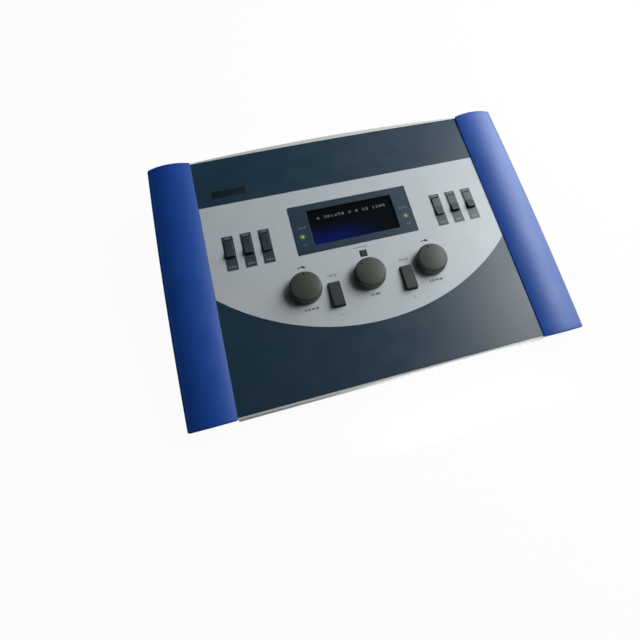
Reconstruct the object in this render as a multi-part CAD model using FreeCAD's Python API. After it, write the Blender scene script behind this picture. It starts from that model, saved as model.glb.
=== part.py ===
# Desktop audiometer: a low wedge-shaped console with a sloping control panel between two
# blue side cheeks.  Millimetres.  +X to the right, +Y to the back, +Z up; the origin is under
# the middle of the console, on the surface that its rubber feet stand on.
#
# Controls and display are drawn in the panel's own frame (u right, v up the slope, w out of
# the panel) with its origin at the middle of the panel's near edge, and are then laid on the
# slope by on_panel().  Connectors are drawn in the rear plate's frame and placed by on_rear().

import FreeCAD, Part
import math
import os

# ---------------------------------------------------------------- case and panel
panel_w = 283.0          # control panel, between the cheeks
panel_d = 255.4          # control panel, up the slope, at the cheeks
panel_bow = 1.8          # how far its far edge bows out at the middle
panel_t = 3.0            # moulded thickness of the control panel
tilt = 9.0               # slope of the panel, degrees
front_h = 17.0           # height of the panel's near edge above the table
foot_h = 3.0             # height of the rubber feet
wall = 2.5               # walls and floor of the base shell
front_lip = 1.8          # light lip of the base in front of the panel
front_lip_drop = 0.5     # lip below the panel's surface
rear_lip = 2.6           # light lip behind the panel at the cheeks
rear_bow = 4.7           # how far the rear wall bows out at its middle
rear_lip_drop = 1.5      # rear lip below the panel's surface
ledge_d = 5.0            # shelf under the panel's near and far edges
ledge_t = 4.0            # thickness of the rear shelf
undercut_d = 7.0         # how far the base draws back under the front lip
undercut_h = 8.0         # height of that undercut
seat_gap = 0.15          # gap round a piece that drops into a pocket
snug_gap = 0.1           # gap round a bushing, neck or lamp in its hole

# ---------------------------------------------------------------- cheeks
cheek_w = 41.2           # width of one cheek at its ends
cheek_bow = 1.5          # how far its outer side bows out at the middle
cheek_step = 1.4         # inner edge of the cheek above the panel
cheek_crown = 3.2        # crown of the cheek above its inner edge
cheek_shoulder = 3.4     # width of the rounded outer shoulder
cheek_shoulder_h = 4.3   # height of that shoulder
cheek_draft = 2.5        # how far the outer wall tucks in towards the bottom
cheek_near = 2.6         # cheek in front of the panel's near edge
cheek_far = 1.7          # cheek behind the panel's far edge
cheek_undercut = 22.0    # how far its near end leans back, degrees from upright
cheek_wall = 2.4         # wall of the hollow cheek

# ---------------------------------------------------------------- light control field
field_t = 0.5            # thickness of the light overlay
field_top = 203.1        # its straight upper edge, up the slope
field_low = 51.5         # lowest point of its curved lower edge
field_r = 207.2          # radius of that curve
plate_label_t = 0.25     # printed legend plates round the rocker switches
name_w = 33.0            # blank name plate, width
name_d = 7.5             # blank name plate, depth
name_side = 14.2         # blank name plate, from the left-hand cheek
name_v = 215.3           # blank name plate, centre
name_t = 0.6             # blank name plate, thickness

# ---------------------------------------------------------------- display
window_w = 86.1          # visible window
window_d = 38.2
window_v = 158.9         # centre of the window and of its bezel
window_t = 0.8
window_rim = 1.4         # hidden rim of the window under the bezel
view_gap = 0.5           # panel and display frame beyond the window's edge
bezel_side = 17.1        # bezel left and right of the window
bezel_end = 7.3          # bezel above and below the window
bezel_t = 1.5
bezel_proud = 0.3        # bezel above the panel's surface
bezel_corner = 1.0
lcd_frame_side = 5.95    # display frame beyond the window, left and right
lcd_frame_end = 4.4
lcd_frame_h = 6.0
lcd_frame_t = 0.8
lcd_glass_t = 3.0
lcd_board_side = 1.0     # display board beyond its frame, left and right
lcd_board_end = 5.0
lcd_boss_r = 2.0
board_t = 1.6            # circuit boards
notch_gap = 0.5          # control board clear of the display board
led_v = 151.3            # status lamps
led_r = 1.5
led_proud = 0.5          # lamp's dome above the bezel

# ---------------------------------------------------------------- rotary controls
knob_pitch = 61.3        # between neighbouring knobs
knob_v = 97.9
knob_r = 15.1
knob_top = 10.8          # top of the knob above the panel
knob_air = 0.8           # under the knob's skirt
knob_taper = 0.4         # the knob's top is this much smaller in radius
knob_edge_r = 2.2        # rounded top edge
knob_lean = 11.0         # slope of the domed top at its rim, degrees
knob_recess_r = 10.0     # hollow under the knob, over the nut
knob_recess_h = 3.6
pointer_r = 1.1          # pointer dimple near the rim of the knob's top
pointer_inset = 0.2      # dimple from the rounded edge
pointer_depth = 0.9
knob_turns = (0.0, 38.0, 10.0)   # where the dimples stand, degrees left of straight up
shaft_r = 3.0
shaft_flat = 0.75        # flat of the shaft, share of its radius
shaft_in_knob = 4.6      # length of shaft that the knob grips
bushing_r = 4.5          # threaded bushing of the encoder
bushing_h = 3.4          # bushing above the panel's underside seat
encoder_w = 12.6
encoder_d = 13.2
nut_af = 12.0            # hexagon nut, across flats
nut_t = 2.2
washer_r = 7.0
washer_t = 0.6

# ---------------------------------------------------------------- rocker switches
rocker_side = 20.5       # outermost rocker of each group, from the cheek
rocker_pitch = 17.04
rocker_count = 3         # in each group
legend_edge = 1.2        # printed plate beyond the slot's sides
legend_near = 12.2       # and beyond its near and far ends
legend_far = 3.5
rocker_v = 154.4         # pivot of the rockers
rocker_w = 7.4
rocker_d = 18.3
rocker_near_h = 3.8      # height of the rocker's near end
rocker_far_h = 0.8       # height of its flat far half
rocker_lip = 1.0         # flat at the top of the near end
key_draft = 0.5          # how far the ends of rockers and paddles draw in below
rocker_swing = 7.0       # between its two positions, degrees
rocker_side_gap = 0.25
rocker_end_gap = 0.9
pivot_depth = 4.5        # pivots below the panel's surface
pin_r = 1.0
pin_gap = 0.05           # round a pin in its rocker or paddle
pin_seat_gap = 0.02      # round a pin in its housing
hub_r = 2.0              # boss of a rocker or paddle round its pin
housing_wall = 1.2

# ---------------------------------------------------------------- presentation paddles
paddle_u = 35.0
paddle_v = 86.5
paddle_w = 10.6
paddle_d = 24.5
paddle_near_h = 5.0
paddle_far_h = 2.4
paddle_bevel = 1.5       # bevel along the far end
paddle_pivot = 9.0       # pivot behind the paddle's middle
paddle_near_gap = 0.9
paddle_side_gap = 0.3

# ---------------------------------------------------------------- boards and fixings
board_depth = 10.5       # control board below the panel's surface
control_board_side = 8.5 # control board from the cheeks
control_board_near = 62.0
control_board_far = 174.0
main_board_side = 28.5   # main board from the cheeks
main_board_d = 88.0
main_board_gap = 5.0     # standoff height above the floor
header_w = 20.0          # ribbon cable headers
header_d = 6.0
header_h = 4.0
header_side = 29.0       # headers, from the left end of the main board
ribbon_w = 18.0
ribbon_t = 0.9
ribbon_v = 132.0         # header under the control board
ribbon_run = 9.5         # how far back the ribbon goes between its ends
ribbon_bend = 2.4        # middle radius of the ribbon's two bends
processor_w = 22.0       # square main chip, left of the board's middle
chip_w = 14.0            # two smaller chips, right of it
chip_d = 10.0
chip_h = 2.0
relay_w = 26.0           # relay block
relay_d = 12.0
relay_h = 6.0
capacitor_r = 4.0        # row of capacitors along the board's near edge
capacitor_h = 8.0
capacitor_count = 3
boss_r = 3.0             # bosses that carry the boards
boss_inset = 1.0         # boss from the board's edge
board_screw_r = 1.1
board_screw_l = 4.0      # thread in the boss
board_head_r = 2.2
board_head_h = 1.3
thread_gap = 0.05        # round a screw's thread
end_gap = 0.4            # past a screw's end
hole_gap = 0.3           # round a screw in a clearance hole
pillar_r = 4.6           # pillars round the case screws
case_screw_r = 1.5
case_head_r = 2.9
case_head_h = 2.0
case_head_sink = 1.0     # screw heads inside the floor's underside
case_screw_side = 13.5   # from the cheeks
case_screw_near = 24.0   # from the panel's near edge
case_screw_far = 20.0    # from the rear plate
panel_boss_h = 5.0       # panel's own bosses over the pillars
cheek_boss_r = 4.0
cheek_boss_l = 9.0
cheek_screw_places = (0.16, 0.52, 0.88)   # share of the case's depth
foot_r = 8.0
foot_side = 41.5         # from the cheeks
foot_inset = 20.0        # from the near and rear edges of the base
peg_r = 2.5

# ---------------------------------------------------------------- rear plate
rear_plate_t = 2.0
rear_open_side = 26.5    # opening in the rear wall, from the cheeks
rear_open_low = 6.0      # above the floor
rear_open_high = 5.0     # below the rear shelf
rear_plate_margin = 4.0  # plate behind the wall, round the opening
socket_r = 3.2           # headphone and response sockets, for a 6.35 mm plug
socket_depth = 28.0
socket_count = 5
power_end = 25.0         # power switch from the left end of the opening
socket_end = 20.0        # last jack socket from its right end
plug_share = 1.35        # steps between the wider plugs, to one between jack sockets
socket_w = 15.0
socket_h = 14.0
socket_wall = 2.0        # behind the blind end of the socket
thread_r = 4.5
thread_l = 4.5           # threaded neck outside the plate
socket_nut_r = 7.0
socket_nut_t = 2.0
usb_w = 12.0
usb_h = 11.0
usb_d = 16.0
usb_wall = 1.6
usb_tongue_w = 5.6
usb_tongue_h = 3.2
usb_depth = 9.0
inlet_w = 11.0
inlet_h = 12.0
inlet_d = 14.0
inlet_r = 3.0
inlet_pin_r = 1.0
inlet_depth = 9.5
power_d = 15.0           # length of the power rocker
power_side_h = 2.6       # raised end of the power rocker
power_flange = 1.5       # flange of the power switch round its rocker
power_swing = 16.0       # between OFF and ON, degrees
power_body_d = 11.0
power_pivot_z = -3.0     # its pin, from the rear plate's outer face
power_dip_h = 0.8        # middle of its rocker above the flange
connector_proud = 0.8    # mouths of the data socket and the power inlet
mouth_inset = 1.0        # tongue and centre pin inside their mouths
socket_nut_bevel = 0.5
connector_rise = 1.0     # connectors above the middle of the opening

# ---------------------------------------------------------------- worked-out places
half_w = panel_w / 2
slope = math.radians(tilt)
rise = math.tan(slope)
floor_z = foot_h + wall
case_head_seat = foot_h + case_head_sink + case_head_h
panel_in = half_w - seat_gap
field_half = panel_in
rear_y = panel_d * math.cos(slope) + rear_lip
rear_in = rear_y - wall
plate_out = rear_in
plate_in = plate_out - rear_plate_t
board_top = -board_depth
knob_us = [-knob_pitch, 0.0, knob_pitch]
rocker_last = half_w - rocker_side
right_rockers = [rocker_last - i * rocker_pitch for i in reversed(range(rocker_count))]
rocker_us = [-u for u in reversed(right_rockers)] + right_rockers
slot_w = rocker_w + 2 * rocker_side_gap
slot_d = rocker_d + 2 * rocker_end_gap
housing_w = slot_w + 2 * housing_wall
legend_w = slot_w + 2 * legend_edge
legend_d = slot_d + legend_near + legend_far
legend_v = rocker_v + (legend_far - legend_near) / 2
power_slot_d = power_d + 2 * rocker_end_gap
field_mid_v = field_low + field_r
name_u = -half_w + name_side + name_w / 2
bezel_w = window_w + 2 * bezel_side
bezel_d = window_d + 2 * bezel_end
lcd_frame_w = window_w + 2 * lcd_frame_side
lcd_frame_d = window_d + 2 * lcd_frame_end
lcd_board_w = lcd_frame_w + 2 * lcd_board_side
lcd_board_d = lcd_frame_d + 2 * lcd_board_end
lcd_board_top = -panel_t - lcd_frame_h
led_u = lcd_board_w / 2 + notch_gap + led_r + snug_gap
control_board_w = panel_w - 2 * control_board_side
main_board_w = panel_w - 2 * main_board_side

Vec = FreeCAD.Vector
panel_place = FreeCAD.Placement(Vec(0, 0, front_h), FreeCAD.Rotation(Vec(1, 0, 0), tilt))


def top_z(y):
    """Height of the panel's surface plane over the case's depth y."""
    return front_h + y * rise


rear_shelf_z = top_z(rear_in) - panel_t / math.cos(slope) - ledge_t
rear_open_half = half_w - rear_open_side
rear_open_z0 = floor_z + rear_open_low
rear_open_z1 = rear_shelf_z - rear_open_high
connector_z = (rear_open_z0 + rear_open_z1) / 2 + connector_rise
rear_place = FreeCAD.Placement(
    Vec(0, plate_out, connector_z), FreeCAD.Rotation(Vec(0, 1, 1), 180))
connector_row = 2 * rear_open_half - power_end - socket_end
socket_pitch = connector_row / (3 * plug_share + socket_count - 1)
plug_pitch = plug_share * socket_pitch
power_x = -rear_open_half + power_end
inlet_x = power_x + plug_pitch
usb_x = inlet_x + plug_pitch
socket_xs = [usb_x + plug_pitch + i * socket_pitch for i in range(socket_count)]


# ---------------------------------------------------------------- drawing helpers
def box(x0, x1, y0, y1, z0, z1):
    """Block between two corners."""
    return Part.makeBox(x1 - x0, y1 - y0, z1 - z0, Vec(x0, y0, z0))


def slab(w, d, z0, z1, x=0.0, y=0.0):
    """Block centred on x and y."""
    return box(x - w / 2, x + w / 2, y - d / 2, y + d / 2, z0, z1)


def rod(r, z0, z1, x=0.0, y=0.0):
    """Upright cylinder."""
    return Part.makeCylinder(r, z1 - z0, Vec(x, y, z0))


def rod_x(r, x0, x1, y, z):
    """Cylinder along X."""
    return Part.makeCylinder(r, x1 - x0, Vec(x0, y, z), Vec(1, 0, 0))


def outline(start, *moves):
    """Closed face: each move is a point, or a (middle, end) pair for an arc."""
    edges = []
    here = start
    for move in moves + (start,):
        if isinstance(move, tuple):
            edges.append(Part.Arc(here, move[0], move[1]).toShape())
            here = move[1]
        elif (move - here).Length > 1e-6:
            edges.append(Part.LineSegment(here, move).toShape())
            here = move
    return Part.Face(Part.Wire(edges))


def side_prism(points, x0, x1):
    """Side view given as (y, z) points, carried along X."""
    face = outline(*[Vec(x0, y, z) for y, z in points])
    return face.extrude(Vec(x1 - x0, 0, 0))


def placed(shape, place):
    """A copy of the shape, moved by a placement."""
    moved = shape.copy()
    moved.Placement = place.multiply(moved.Placement)
    return moved


def on_panel(shape):
    """From the panel's frame to the case's."""
    return placed(shape, panel_place)


def panel_point(u, v, w):
    """A point of the panel's frame in the case's frame."""
    return panel_place.multVec(Vec(u, v, w))


def on_rear(shape):
    """From the rear plate's frame (x left, y up, z out of the plate) to the case's."""
    return placed(shape, rear_place)


def fused(first, *others):
    """One solid from pieces that touch or overlap."""
    return first.fuse(list(others)).removeSplitter()


def group(shapes):
    """Separate solids that share one node."""
    return Part.makeCompound(list(shapes))


# ---------------------------------------------------------------- where the fixings go
case_screw_points = [
    (x, y)
    for x in (case_screw_side - half_w, half_w - case_screw_side)
    for y in (case_screw_near, plate_in - case_screw_far)]
foot_points = [
    (x, y)
    for x in (foot_side - half_w, half_w - foot_side)
    for y in (foot_inset, rear_in - foot_inset)]
cheek_screw_points = []
for share in cheek_screw_places:
    screw_y = share * rear_in
    under = top_z(screw_y) - panel_t
    cheek_screw_points.append((screw_y, (floor_z + under) / 2))

boss_edge = boss_r + boss_inset
board_boss_points = [
    (u, v)
    for u in (boss_edge - control_board_w / 2, control_board_w / 2 - boss_edge)
    for v in (control_board_near + boss_edge, control_board_far - boss_edge)]
lcd_boss_points = [
    (u, window_v + v)
    for u in (lcd_boss_r - lcd_board_w / 2, lcd_board_w / 2 - lcd_boss_r)
    for v in (lcd_boss_r - lcd_board_d / 2, lcd_board_d / 2 - lcd_boss_r)]
header_x = header_side - main_board_w / 2
ribbon_top = panel_point(header_x, ribbon_v, board_top - board_t - header_h)
ribbon_start_y = ribbon_top.y
ribbon_start_z = ribbon_top.z - header_d / 2 * math.sin(slope)
ribbon_end_y = ribbon_start_y + ribbon_run
main_z = floor_z + main_board_gap
ribbon_end_z = main_z + board_t + header_h
main_y0 = ribbon_end_y - 2 * header_d
main_y1 = main_y0 + main_board_d
main_boss_points = [
    (x, y)
    for x in (boss_edge - main_board_w / 2, main_board_w / 2 - boss_edge)
    for y in (main_y0 + boss_edge, main_y1 - boss_edge)]


def case_screw_seat(y):
    """Underside of the panel's boss over a pillar."""
    return top_z(y) - panel_t / math.cos(slope) - panel_boss_h


# ---------------------------------------------------------------- base shell and feet
def base_shell():
    """Light tray: floor, front lip, side walls, bowed rear wall, pillars and standoffs."""
    y0 = -front_lip
    y1 = rear_y + rear_bow
    high = top_z(y1) + 1.0
    plan = outline(
        Vec(-half_w, y0, foot_h),
        Vec(half_w, y0, foot_h),
        Vec(half_w, rear_y, foot_h),
        (Vec(0, y1, foot_h), Vec(-half_w, rear_y, foot_h)))
    middle = (y0 + rear_y) / 2
    profile = [
        (y0, foot_h + undercut_h),
        (y0, top_z(y0) - front_lip_drop),
        (middle, top_z(middle) - front_lip_drop),
        (middle, top_z(middle) - rear_lip_drop),
        (y1, top_z(y1) - rear_lip_drop),
        (y1, foot_h),
        (y0 + undercut_d, foot_h)]
    shell = plan.extrude(Vec(0, 0, high)).common(side_prism(profile, -half_w, half_w))
    pocket = panel_face(half_w, seat_gap, -panel_t).extrude(Vec(0, 0, 3 * panel_t))
    shell = shell.cut(on_panel(pocket))
    inner_w = half_w - wall
    hollow = box(-inner_w, inner_w, ledge_d, rear_in, floor_z, high)
    shelf = side_prism(
        [(rear_in - ledge_d, rear_shelf_z), (rear_in, rear_shelf_z),
         (rear_in, high), (rear_in - ledge_d, high)],
        -inner_w, inner_w)
    shell = shell.cut(hollow.cut(shelf))
    opening = box(
        -rear_open_half, rear_open_half, rear_in - 1, y1 + 1, rear_open_z0, rear_open_z1)
    shell = shell.cut(opening)
    rib_w = rear_open_half + rear_plate_margin
    rib = box(-rib_w, rib_w, plate_in - seat_gap - wall, plate_in - seat_gap, floor_z,
              floor_z + rear_open_low / 2)
    pieces = [rib]
    for x, y in case_screw_points:
        pieces.append(rod(pillar_r, foot_h, case_screw_seat(y), x, y))
    for x, y in main_boss_points:
        pieces.append(rod(boss_r, floor_z, main_z, x, y))
    shell = fused(shell, *pieces)
    for x, y in case_screw_points:
        shell = shell.cut(rod(case_head_r + hole_gap, foot_h - 1, case_head_seat, x, y))
        shell = shell.cut(rod(case_screw_r + hole_gap, foot_h, case_screw_seat(y) + 1, x, y))
    for x, y in main_boss_points:
        hole_z = main_z - board_screw_l - end_gap
        shell = shell.cut(rod(board_screw_r + thread_gap, hole_z, main_z + 1, x, y))
    for x, y in foot_points:
        shell = shell.cut(rod(peg_r + thread_gap, foot_h - 1, floor_z + 1, x, y))
    for y, z in cheek_screw_points:
        shell = shell.cut(rod_x(case_screw_r + hole_gap, -half_w - 1, half_w + 1, y, z))
    return shell


def rubber_feet():
    """Four soft round feet, each with a peg in the floor."""
    feet = []
    for x, y in foot_points:
        foot = rod(foot_r, 0, foot_h, x, y)
        rim = [edge for edge in foot.Edges if abs(edge.BoundBox.ZMax) < 1e-6]
        foot = foot.makeFillet(foot_h / 4, rim)
        feet.append(fused(foot, rod(peg_r, foot_h, floor_z, x, y)))
    return group(feet)


# ---------------------------------------------------------------- control panel
def field_face(margin, w):
    """Light field: straight far edge, arc for its near edge; margin is a gap all round."""
    half = field_half - margin
    low = field_low + margin
    radius = field_r - margin
    edge_v = field_mid_v - math.sqrt(radius**2 - half**2)
    top = field_top - margin
    return outline(
        Vec(-half, edge_v, w),
        (Vec(0, low, w), Vec(half, edge_v, w)),
        Vec(half, top, w),
        Vec(-half, top, w))


def paddle_slot(z0, z1, u):
    """Slot that a paddle dips into."""
    v0 = paddle_v - paddle_d / 2 - paddle_near_gap
    v1 = paddle_v + paddle_d / 2 + paddle_side_gap
    half = paddle_w / 2 + paddle_side_gap
    return box(u - half, u + half, v0, v1, z0, z1)


def rocker_slot(z0, z1, u):
    """Slot that a rocker swings in."""
    return slab(slot_w, slot_d, z0, z1, u, rocker_v)


def control_openings(z0, z1):
    """Everything that passes through the panel and its overlay."""
    cuts = [rocker_slot(z0, z1, u) for u in rocker_us]
    cuts += [paddle_slot(z0, z1, u) for u in (-paddle_u, paddle_u)]
    return cuts


def panel_face(half, margin, w):
    """Outline of the panel, its far edge bowed out; margin is a gap in front and behind."""
    far = panel_d + margin
    return outline(
        Vec(-half, -margin, w),
        Vec(half, -margin, w),
        Vec(half, far, w),
        (Vec(0, far + panel_bow, w), Vec(-half, far, w)))


def control_panel():
    """Dark moulded panel with its recesses, cut-outs and bosses."""
    plate = panel_face(panel_in, 0, -panel_t).extrude(Vec(0, 0, panel_t))
    bosses = [rod(boss_r, board_top, -panel_t, u, v) for u, v in board_boss_points]
    bosses += [rod(lcd_boss_r, lcd_board_top, -panel_t, u, v) for u, v in lcd_boss_points]
    plate = fused(plate, *bosses)
    cuts = [field_face(0, -field_t).extrude(Vec(0, 0, 2 * field_t))]
    cuts += control_openings(-panel_t - 1, 1)
    pocket = bezel_proud - bezel_t
    cuts.append(slab(bezel_w + 2 * seat_gap, bezel_d + 2 * seat_gap, pocket, 1, 0, window_v))
    view_w = window_w + 2 * view_gap
    view_d = window_d + 2 * view_gap
    cuts.append(slab(view_w, view_d, -panel_t - 1, 1, 0, window_v))
    cuts += [rod(led_r + hole_gap, -panel_t - 1, 1, u, led_v) for u in (-led_u, led_u)]
    cuts += [rod(bushing_r + snug_gap, -panel_t - 1, 1, u, knob_v) for u in knob_us]
    cuts.append(slab(name_w + 2 * seat_gap, name_d + 2 * seat_gap, -name_t, 1, name_u, name_v))
    for u, v in board_boss_points:
        cuts.append(rod(board_screw_r + thread_gap, board_top - 1, -panel_t, u, v))
    for u, v in lcd_boss_points:
        cuts.append(rod(board_screw_r + thread_gap, lcd_board_top - 1, -panel_t, u, v))
    plate = on_panel(plate.cut(cuts))
    for x, y in case_screw_points:
        boss = rod(pillar_r, case_screw_seat(y), top_z(y) - panel_t / 2, x, y)
        hole = rod(case_screw_r + thread_gap, case_screw_seat(y) - 1,
                   case_screw_seat(y) + panel_boss_h, x, y)
        plate = fused(plate, boss).cut(hole)
    return plate


def light_overlay():
    """Thin light sheet let into the panel, cut out round every control."""
    sheet = field_face(seat_gap / 2, -field_t).extrude(Vec(0, 0, field_t))
    cuts = control_openings(-1, 1)
    cuts.append(slab(bezel_w + 2 * seat_gap, bezel_d + 2 * seat_gap, -1, 1, 0, window_v))
    cuts += [rod(washer_r + hole_gap, -1, 1, u, knob_v) for u in knob_us]
    return on_panel(sheet.cut(cuts))


def legend_plates():
    """Printed plates stuck on the overlay round each rocker."""
    plates = []
    for u in rocker_us:
        plate = slab(legend_w, legend_d, 0, plate_label_t, u, legend_v)
        plates.append(on_panel(plate.cut(rocker_slot(-1, 1, u))))
    return group(plates)


def name_plate():
    """Blank plate in a shallow recess of the panel."""
    return on_panel(slab(name_w, name_d, -name_t, 0, name_u, name_v))


# ---------------------------------------------------------------- cheeks
def cheek_body(inset):
    """Solid cheek: its section carried round the wide arc of the bowed outer side.

    inset draws every face but the open underside inwards, for the hollow.
    """
    low = -top_z(rear_y)
    shoulder_x = cheek_w - cheek_shoulder
    crown_r = ((shoulder_x / 2)**2 + cheek_crown**2) / (2 * cheek_crown)
    crown_z = cheek_step + cheek_crown - inset
    x0 = -2 * cheek_bow
    x1 = cheek_w - inset
    drop = crown_r - math.sqrt(crown_r**2 - (shoulder_x / 2 - x0)**2)
    top = crown_z - cheek_crown
    bend = Vec(x1 - 0.3 * cheek_shoulder, 0, top - 0.3 * cheek_shoulder_h)
    section = outline(
        Vec(x0, 0, low),
        Vec(x0, 0, crown_z - drop),
        (Vec(shoulder_x / 2, 0, crown_z), Vec(shoulder_x - inset / 2, 0, top)),
        (bend, Vec(x1, 0, top - cheek_shoulder_h)),
        Vec(x1 - cheek_draft, 0, low))
    section.translate(Vec(half_w + cheek_bow, panel_d / 2, 0))
    bow_r = ((panel_d / 2)**2 + cheek_bow**2) / (2 * cheek_bow)
    axis = Vec(half_w + cheek_bow + cheek_w - bow_r, panel_d / 2, 0)
    reach = math.degrees(math.asin(0.6 * panel_d / bow_r))
    section.rotate(axis, Vec(0, 0, 1), -reach)
    body = on_panel(section.revolve(axis, Vec(0, 0, 1), 2 * reach))
    edge = panel_point(0, -cheek_near, cheek_step)
    lean = math.tan(math.radians(cheek_undercut))
    front = inset / math.cos(math.radians(cheek_undercut))
    far = panel_d * math.cos(slope) + cheek_far - inset
    high = top_z(rear_y) + 2 * cheek_crown
    side = side_prism(
        [(edge.y + front - (high - edge.z) * lean, high),
         (edge.y + front + (edge.z - foot_h + 1) * lean, foot_h - 1),
         (far, foot_h - 1),
         (far, high)],
        half_w + inset, half_w + cheek_w + 2 * cheek_bow)
    return body.common(side)


def right_cheek():
    """Hollow cheek, open below, with bosses for the screws from the case."""
    shell = cheek_body(0).cut(cheek_body(cheek_wall))
    bosses = [rod_x(cheek_boss_r, half_w, half_w + cheek_boss_l, y, z)
              for y, z in cheek_screw_points]
    shell = fused(shell, *bosses)
    depth = half_w + cheek_boss_l - cheek_wall
    holes = [rod_x(case_screw_r + thread_gap, half_w - 1, depth, y, z)
             for y, z in cheek_screw_points]
    below = box(half_w - 1, half_w + cheek_w + 2 * cheek_bow, -rear_y, 2 * rear_y, -foot_h, foot_h)
    return shell.cut(holes + [below])


def mirrored(shape):
    """The same piece on the other side of the case."""
    return shape.mirror(Vec(0, 0, 0), Vec(1, 0, 0))


# ---------------------------------------------------------------- display
def display_bezel():
    """Slate frame round the window, with the two lamp holes."""
    base = bezel_proud - bezel_t
    frame = slab(bezel_w, bezel_d, base, bezel_proud, 0, window_v)
    upright = [edge for edge in frame.Edges if abs(edge.BoundBox.ZLength - bezel_t) < 1e-6]
    frame = frame.makeFillet(bezel_corner, upright)
    cuts = [slab(window_w, window_d, base - 1, 1, 0, window_v)]
    rim_w = window_w + 2 * window_rim + 2 * seat_gap
    rim_d = window_d + 2 * window_rim + 2 * seat_gap
    cuts.append(slab(rim_w, rim_d, base - 1, base + window_t, 0, window_v))
    cuts += [rod(led_r + snug_gap, base - 1, 1, u, led_v) for u in (-led_u, led_u)]
    return on_panel(frame.cut(cuts))


def display_window():
    """Clear window, held by its rim under the bezel."""
    base = bezel_proud - bezel_t
    pane = slab(window_w + 2 * window_rim, window_d + 2 * window_rim, base, base + window_t,
                0, window_v)
    return on_panel(pane)


def lcd_frame():
    """Folded metal frame of the display module."""
    low = lcd_board_top
    frame = slab(lcd_frame_w, lcd_frame_d, low, -panel_t, 0, window_v)
    inner_w = lcd_frame_w - 2 * lcd_frame_t
    inner_d = lcd_frame_d - 2 * lcd_frame_t
    cuts = [slab(inner_w, inner_d, low - 1, -panel_t - lcd_frame_t, 0, window_v),
            slab(window_w + 2 * view_gap, window_d + 2 * view_gap, low, 0, 0, window_v)]
    return on_panel(frame.cut(cuts))


def lcd_glass():
    """Glass of the display, behind the frame."""
    w = lcd_frame_w - 2 * lcd_frame_t - 2 * seat_gap
    d = lcd_frame_d - 2 * lcd_frame_t - 2 * seat_gap
    top = -panel_t - lcd_frame_t
    return on_panel(slab(w, d, top - lcd_glass_t, top, 0, window_v))


def lcd_board():
    """Circuit board that carries the display."""
    board = slab(lcd_board_w, lcd_board_d, lcd_board_top - board_t, lcd_board_top, 0, window_v)
    holes = [rod(board_screw_r + hole_gap / 2, lcd_board_top - board_t - 1, lcd_board_top + 1, u, v)
             for u, v in lcd_boss_points]
    return on_panel(board.cut(holes))


def status_leds():
    """Two round lamps that stand on the control board and look out through the bezel."""
    lamps = []
    dome = bezel_proud + led_proud - led_r
    for u in (-led_u, led_u):
        body = rod(led_r, board_top, dome, u, led_v)
        cap = Part.makeSphere(led_r, Vec(u, led_v, dome))
        lamps.append(on_panel(fused(body, cap)))
    return group(lamps)


# ---------------------------------------------------------------- knobs and encoders
def knob(u, turn):
    """Round knob with a domed top, a soft edge, a pointer dimple and a hollow underside."""
    lean = math.radians(knob_lean)
    edge_x = knob_r - knob_taper - knob_edge_r
    rim = edge_x + knob_edge_r * math.sin(lean)
    dome_r = rim / math.sin(lean)

    def dome(x):
        """Height of the domed top at a distance from its middle."""
        return knob_top - dome_r + math.sqrt(dome_r**2 - x**2)

    edge_z = dome(rim) - knob_edge_r * math.cos(lean)
    soft = (math.pi / 2 - lean) / 2
    profile = outline(
        Vec(0, 0, knob_air + knob_recess_h),
        Vec(knob_recess_r, 0, knob_air + knob_recess_h),
        Vec(knob_recess_r, 0, knob_air),
        Vec(knob_r, 0, knob_air),
        Vec(edge_x + knob_edge_r, 0, edge_z),
        (Vec(edge_x + knob_edge_r * math.cos(soft), 0, edge_z + knob_edge_r * math.sin(soft)),
         Vec(rim, 0, dome(rim))),
        (Vec(rim / 2, 0, dome(rim / 2)), Vec(0, 0, knob_top)))
    body = profile.revolve(Vec(0, 0, 0), Vec(0, 0, 1), 360)
    grip_top = knob_air + knob_recess_h + shaft_in_knob
    bore = rod(shaft_r, 0, grip_top)
    dimple_v = edge_x - pointer_r - pointer_inset
    dimple = rod(pointer_r, dome(dimple_v) - pointer_depth, knob_top + 1, 0, dimple_v)
    dimple.rotate(Vec(0, 0, 0), Vec(0, 0, 1), turn)
    body = body.cut([bore, dimple])
    body.translate(Vec(u, knob_v, 0))
    return on_panel(body)


def encoder_shaft(u):
    """Steel shaft with a flat, gripped by the knob."""
    top = knob_air + knob_recess_h + shaft_in_knob
    shaft = rod(shaft_r, board_top + housing_wall, top)
    flat = box(shaft_flat * shaft_r, shaft_r + 1, -shaft_r, shaft_r, bushing_h + end_gap, top + 1)
    shaft = shaft.cut(flat)
    shaft.translate(Vec(u, knob_v, 0))
    return on_panel(shaft)


def encoder(u):
    """Body and threaded bushing of a rotary encoder; the shaft runs in it."""
    body = slab(encoder_w, encoder_d, board_top, -panel_t)
    bushing = rod(bushing_r, -panel_t, bushing_h)
    body = fused(body, bushing)
    seat = board_top + housing_wall - end_gap
    body = body.cut(rod(shaft_r + thread_gap, seat, bushing_h + 1))
    body.translate(Vec(u, knob_v, 0))
    return on_panel(body)


def encoder_nuts():
    """Washer and hexagon nut on each bushing."""
    nuts = []
    seat = -field_t
    top = seat + washer_t + nut_t
    corner = nut_af / math.sqrt(3)
    for u in knob_us:
        corners = [Vec(corner * math.cos(math.radians(60 * i)),
                       corner * math.sin(math.radians(60 * i)), seat + washer_t)
                   for i in range(6)]
        hexagon = outline(*corners).extrude(Vec(0, 0, nut_t))
        nut = fused(rod(washer_r, seat, seat + washer_t), hexagon)
        nut = nut.cut(rod(bushing_r + thread_gap, seat - 1, top + 1))
        nut.translate(Vec(u, knob_v, 0))
        nuts.append(on_panel(nut))
    return group(nuts)


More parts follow.
